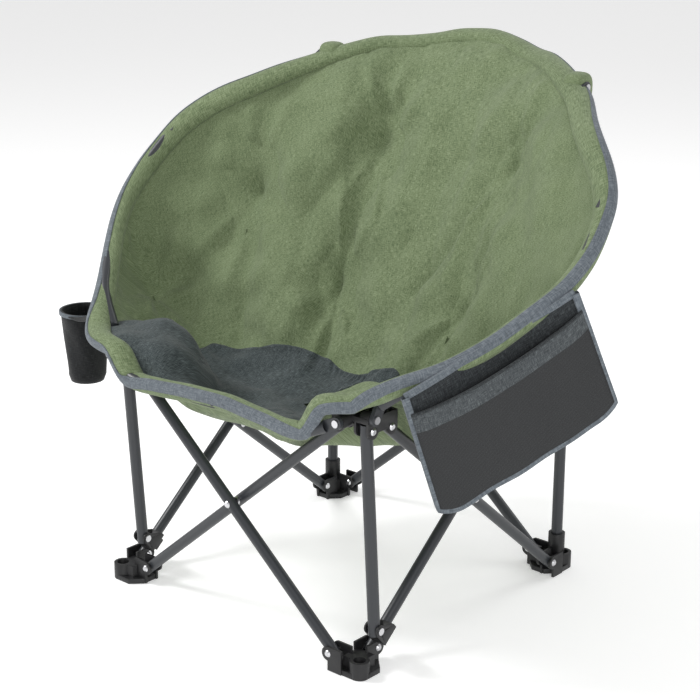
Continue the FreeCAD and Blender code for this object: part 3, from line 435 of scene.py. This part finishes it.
SLEEVE_REACH, SLEEVE_HALF, SLEEVE_CENTRE = 20.0, 14.0, -6.0
roll = [(SLEEVE_REACH * math.cos(a), SLEEVE_HALF * math.sin(a)) for a in np.linspace(0, 2 * math.pi, 28, endpoint=False)]
sleeve = swept("rim_sleeve", roll, [green], SLEEVE_CENTRE, 0.0034, wobble=0.8)
tape_angles = np.linspace(-0.62, 0.62, 11)
tape = [((SLEEVE_REACH + out_by) * math.cos(a), (SLEEVE_HALF + out_by) * math.sin(a))
        for out_by, angles in ((1.5, tape_angles), (-0.4, tape_angles[::-1])) for a in angles]
trim = swept("rim_binding", tape, [binding], SLEEVE_CENTRE, 0.002, wobble=0.8)


# Bar tacks at the tufts
def tack(name, x, y):
    d = np.hypot(upper[..., 0] - x, upper[..., 1] - y)
    i, j = np.unravel_index(np.argmin(d), d.shape)
    at = Vector(upper[i, j] / 1000.0) + SHIFT
    n = Vector(normal[i, j])
    bpy.ops.mesh.primitive_cube_add(size=1.0, location=at + n * 0.0012)
    obj = bpy.context.object
    obj.name = name
    obj.scale = (0.003, 0.013, 0.0022)
    obj.rotation_mode = "QUATERNION"
    obj.rotation_quaternion = n.to_track_quat("Z", "Y")
    bevel = obj.modifiers.new("round", "BEVEL")
    bevel.width, bevel.segments = 0.0008, 2
    obj.data.materials.append(green)
    return obj


tacks = [tack("tuft_tack_%d" % (k + 1), x, y) for k, (x, y) in enumerate(TUFTS)]


# Cloth pockets of the cover over the ring's rear corners
def corner_pocket(name, node, grow=5.0):
    box_low, box_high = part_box(node)
    middle = (box_low + box_high) / 2
    half = (box_high - box_low) / 2 * 1000
    rows, cols = 20, 40
    pts = np.zeros((rows, cols, 3))
    for i in range(rows):
        v = math.pi * (i / (rows - 1) - 0.5)
        for j in range(cols):
            u = 2 * math.pi * j / cols
            c, s = math.cos(v), math.sin(v)
            unit = (c * math.cos(u), c * math.sin(u), s)
            pts[i, j] = [(middle[k] - SHIFT[k]) * 1000 + math.copysign(abs(unit[k]) ** 0.62, unit[k]) * (half[k] + grow)
                         for k in range(3)]
    obj = grid_object(name, pts, [green], lambda i, j: (j / cols * 0.2, i / rows * 0.1))
    return obj


pockets = {side: corner_pocket("corner_pocket_" + side, "ring_corner_" + side) for side in ("right", "left")}


# Side pocket: a dark band, a pouch with a hem, a net front and a bound edge
def quad_point(corners, u, v):
    tf, tr, lr, lf = corners
    return (tf * (1 - u) + tr * u) * (1 - v) + (lf * (1 - u) + lr * u) * v


P_CORNERS = [np.array(c) for c in ((318.0, -240.0, 436.0), (456.0, -52.0, 568.0), (484.0, 22.0, 390.0),
                                   (346.0, -188.0, 254.0))]
across, down = P_CORNERS[1] - P_CORNERS[0], P_CORNERS[3] - P_CORNERS[0]
POCKET_OUT = np.cross(across, down)
POCKET_OUT /= np.linalg.norm(POCKET_OUT)
POCKET_OUT *= 1 if POCKET_OUT[0] > 0 else -1


def rounded(u, v):
    """Pulls the two lower corners in to a curve and bows the lower edge."""
    cut = 0.0
    for cu in (0.0, 1.0):
        d = abs(u - cu)
        if d < 0.12:
            cut = max(cut, (0.12 - d) ** 2 / 0.12 * 0.55)
    return u, v * (1.0 - cut)


def pocket_surface(name, v0, v1, lift, bow, mats, nu=60, nv=34, sag=0.0, bands=None):
    pts = np.zeros((nv, nu, 3))
    for i in range(nv):
        for j in range(nu):
            u, v = j / (nu - 1), v0 + (v1 - v0) * i / (nv - 1)
            u, v = rounded(u, v)
            p = quad_point(P_CORNERS, u, v)
            fold = 2.2 * math.sin(u * 21 + v * 5) * (v - 0.1) + 1.8 * math.sin(u * 9 - v * 3)
            swell = bow * math.sin(math.pi * u) * (1 - i / (nv - 1)) ** 0.8
            p = p + POCKET_OUT * (lift + swell + fold * 0.8)
            p[2] -= sag * math.sin(math.pi * u) * (1 - i / (nv - 1))
            pts[i, j] = p
    obj = grid_object(name, pts, mats, lambda i, j: (j / nu * 0.25, (v0 + (v1 - v0) * i / nv) * 0.22), False,
                      None if bands is None else (lambda i, j: bands(i / (nv - 1))))
    thick = obj.modifiers.new("cloth", "SOLIDIFY")
    thick.thickness, thick.offset = 0.0018, 0.0
    return obj, pts


panel, panel_pts = pocket_surface("pocket_back", 0.0, 1.0, 0.0, 0.0, [slate_dark])
pouch, pouch_pts = pocket_surface("pocket_front", 0.15, 0.99, 6.0, 15.0, [hem_cloth, mesh_mat], sag=6.0,
                                  bands=lambda t: 0 if t < 0.17 else 1)


def tape_along(name, line, width, depth, mat, normal_dir):
    count = len(line)
    line = np.array(line)
    along = np.gradient(line, axis=0)
    along /= np.linalg.norm(along, axis=1, keepdims=True)
    n = np.array(normal_dir)
    sidev = np.cross(along, n)
    sidev /= np.linalg.norm(sidev, axis=1, keepdims=True)
    sect = [(-0.5, -0.5), (0.5, -0.5), (0.5, 0.5), (-0.5, 0.5)]
    pts = np.stack([line + sidev * a * width + n * b * depth for a, b in sect + sect[:1]], 0)
    obj = grid_object(name, pts, [mat], lambda i, j: (j / count * 0.4, i * 0.006), False)
    bevel = obj.modifiers.new("round", "BEVEL")
    bevel.width, bevel.segments = 0.0008, 2
    return obj


loop = [panel_pts[i, 0] for i in range(panel_pts.shape[0])] + [panel_pts[-1, j] for j in range(1, panel_pts.shape[1])] + \
       [panel_pts[i, -1] for i in range(panel_pts.shape[0] - 2, -1, -1)]
loop = [p + POCKET_OUT * 2.0 for p in loop]
pocket_trim = tape_along("pocket_binding", loop, 10.5, 9.0, binding, POCKET_OUT)
mouth = tape_along("pocket_mouth_edge", [p + POCKET_OUT * 1.0 for p in pouch_pts[0]], 4.0, 3.0, slate_dark, POCKET_OUT)
top_trim = tape_along("pocket_top_edge", [p + POCKET_OUT * 1.5 for p in panel_pts[0]], 9.0, 6.0, binding, POCKET_OUT)

# Cup holder: bound mouth, soft wall, and the strap to the left side tube
cup_low, cup_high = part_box("cup_holder")
cup_centre = (cup_low + cup_high) / 2
radius_top = (cup_high.x - cup_low.x) / 2
cup_pts = []
CUP_TURNS = 64
for t in np.linspace(0, 1, 26):
    r = radius_top * 1000 * (0.775 + 0.225 * t) - 0.6
    if t < 0.08:
        r *= 0.90 + 0.10 * t / 0.08
    ring = []
    for k in range(CUP_TURNS):
        a = 2 * math.pi * k / CUP_TURNS
        rr = r - 1.4 * (1 + math.sin(a * 5 + t * 4)) * math.sin(math.pi * min(1, t * 1.1))
        ring.append(((cup_centre.x - SHIFT.x) * 1000 + rr * math.cos(a), (cup_centre.y - SHIFT.y) * 1000 + rr * math.sin(a),
                     cup_low.z * 1000 + (cup_high.z - cup_low.z) * 1000 * t))
    cup_pts.append(ring)
inner = []
for t in np.linspace(1, 0.04, 14):
    inner.append([((p[0] - (cup_centre.x - SHIFT.x) * 1000) * 0.93 + (cup_centre.x - SHIFT.x) * 1000,
                   (p[1] - (cup_centre.y - SHIFT.y) * 1000) * 0.93 + (cup_centre.y - SHIFT.y) * 1000, p[2])
                  for p in [tuple(np.array(cup_pts[int(round(t * 25))][k])) for k in range(CUP_TURNS)]])
inner.append([((cup_centre.x - SHIFT.x) * 1000, (cup_centre.y - SHIFT.y) * 1000, inner[-1][0][2])] * CUP_TURNS)
cup_pts.insert(0, [((cup_centre.x - SHIFT.x) * 1000, (cup_centre.y - SHIFT.y) * 1000, cup_low.z * 1000)] * CUP_TURNS)
cup = grid_object("cup_pouch", np.array(cup_pts + inner), [black_cloth], lambda i, j: (j / CUP_TURNS * 0.25, i / 26 * 0.12))

# The cloth that hangs the cup pouch from the rim
strap_turns = np.radians(np.linspace(-72.0, -54.0, 16)) % (2 * math.pi)
strap_top = bowl(strap_turns, np.ones(16), INSET)
cup_mm = np.array([(cup_centre.x - SHIFT.x) * 1000, (cup_centre.y - SHIFT.y) * 1000, cup_high.z * 1000])
inner_side = np.arctan2(strap_top[8][1] - cup_mm[1], strap_top[8][0] - cup_mm[0])
mouth_angles = inner_side + np.linspace(1.35, -1.35, 16)
mouth_arc = np.stack([cup_mm[0] + (radius_top * 1000 - 1.5) * np.cos(mouth_angles),
                      cup_mm[1] + (radius_top * 1000 - 1.5) * np.sin(mouth_angles),
                      np.full(16, cup_mm[2] - 3.0)], 1)
if np.linalg.norm(strap_top[0] - mouth_arc[0]) > np.linalg.norm(strap_top[0] - mouth_arc[-1]):
    mouth_arc = mouth_arc[::-1]
strap_rows = []
for t in np.linspace(0, 1, 10):
    row = strap_top * (1 - t) + mouth_arc * t
    row[:, 2] -= 9.0 * math.sin(math.pi * t)
    strap_rows.append(row)
cup_strap = grid_object("cup_strap", np.array(strap_rows), [black_cloth],
                        lambda i, j: (j / 16 * 0.1, i / 10 * 0.06), False)
strap_cloth = cup_strap.modifiers.new("cloth", "SOLIDIFY")
strap_cloth.thickness, strap_cloth.offset = 0.002, 0.0
cup_edge = tape_along("cup_binding", [cup_mm + np.array([(radius_top * 1000 + 0.5) * math.cos(a),
                                                         (radius_top * 1000 + 0.5) * math.sin(a), -3.0])
                                      for a in np.linspace(0, 2 * math.pi, 49)], 2.4, 7.0, binding, (0, 0, 1))

# CAD pieces that show keep their own meshes
SMOOTH = math.radians(32.0)
for name, obj in nodes.items():
    obj.data.materials.clear()
    if name.startswith(("brace_", "post_", "ring_front", "ring_side", "ring_back")):
        mat = tube_mat
    elif "rivet" in name or "pins" in name:
        mat = rivet_mat
    elif name in ("padded_bowl", "seat_patch", "pocket_panel", "pocket_pouch", "cup_holder"):
        mat = green
    else:
        mat = plastic_mat
    obj.data.materials.append(mat)
    if mat is not green:
        obj.data.polygons.foreach_set("use_smooth", [True] * len(obj.data.polygons))
        obj.data.set_sharp_from_angle(angle=SMOOTH)
    if mat is plastic_mat:
        weld = obj.modifiers.new("weld", "WELD")
        weld.merge_threshold = 0.00002
        bevel = obj.modifiers.new("soft_edges", "BEVEL")
        bevel.width, bevel.segments, bevel.limit_method = 0.0008, 2, "ANGLE"
        bevel.angle_limit = math.radians(40)
        bevel.harden_normals = False

# What moves with what
BODY = "hub_front_right"
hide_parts("padded_bowl")
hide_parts("seat_patch")
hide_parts("pocket_panel")
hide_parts("pocket_pouch")
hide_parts("cup_holder")
low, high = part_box("hub_front_right")
for obj in [cover, patch, sleeve, trim] + tacks:
    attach(obj, BODY)
    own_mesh(obj)
for side, obj in pockets.items():
    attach(obj, "foot_rear_" + side)
for obj in (panel, pouch, pocket_trim, mouth, top_trim):
    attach(obj, "ring_side_front_right")
for obj in (cup, cup_strap, cup_edge):
    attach(obj, "ring_side_front_left")

# Studio
bpy.ops.mesh.primitive_plane_add(size=30.0, location=(0, 0, -0.0005))
floor = bpy.context.object
floor.name = "floor"
floor_mat, _, floor_shader = material("studio_floor", "", (0.92, 0.92, 0.92), 0.75)
floor_shader.inputs["Emission Color"].default_value = (1.0, 1.0, 1.0, 1.0)
floor_shader.inputs["Emission Strength"].default_value = 0.30
floor.data.materials.append(floor_mat)

world = bpy.data.worlds.new("studio")
scene.world = world
world.use_nodes = True
background = world.node_tree.nodes["Background"]
background.inputs["Color"].default_value = (1.0, 1.0, 1.0, 1.0)
seen = world.node_tree.nodes.new("ShaderNodeLightPath").outputs["Is Camera Ray"]
link(world.node_tree, maths(world.node_tree, "ADD", maths(world.node_tree, "MULTIPLY", seen, 0.45), 0.55),
     background.inputs["Strength"])


def area(name, place, aim, size, power):
    data = bpy.data.lights.new(name, "AREA")
    data.size, data.energy = size, power
    lamp = bpy.data.objects.new(name, data)
    lamp.location = place
    lamp.rotation_euler = (Vector(aim) - Vector(place)).to_track_quat("-Z", "Y").to_euler()
    scene.collection.objects.link(lamp)
    return lamp


area("key", (-2.3, -1.6, 2.9), (0, 0, 0.4), 1.0, 84.0)
area("fill", (3.0, -2.2, 1.7), (0, 0, 0.4), 1.6, 44.0)
area("rim_light", (0.6, 2.6, 2.6), (0, 0, 0.6), 1.8, 26.0)

camera_data = bpy.data.cameras.new("camera")
camera = bpy.data.objects.new("camera", camera_data)
scene.collection.objects.link(camera)
scene.camera = camera
AZIMUTH, ELEVATION, ROLL, DISTANCE = math.radians(41.27), math.radians(17.72), math.radians(0.2), 2.7464
back = Vector((math.sin(AZIMUTH) * math.cos(ELEVATION), -math.cos(AZIMUTH) * math.cos(ELEVATION), math.sin(ELEVATION)))
right = Vector((math.cos(AZIMUTH), math.sin(AZIMUTH), 0))
up = back.cross(right)
right, up = right * math.cos(ROLL) + up * math.sin(ROLL), up * math.cos(ROLL) - right * math.sin(ROLL)
camera.matrix_world = Matrix((
    (right.x, up.x, back.x, 0), (right.y, up.y, back.y, 0), (right.z, up.z, back.z, 0), (0, 0, 0, 1)))
camera.location = Vector((-0.0112, 0.0245, 0.369)) + SHIFT + back * DISTANCE
camera_data.sensor_width = 36.0
camera_data.lens = 1741.0 / 700.0 * 36.0
camera_data.clip_end = 60.0

scene.render.engine = "CYCLES"
scene.cycles.samples = 96
scene.render.resolution_x = scene.render.resolution_y = 700
scene.view_settings.view_transform = "Standard"
scene.view_settings.look = "None"
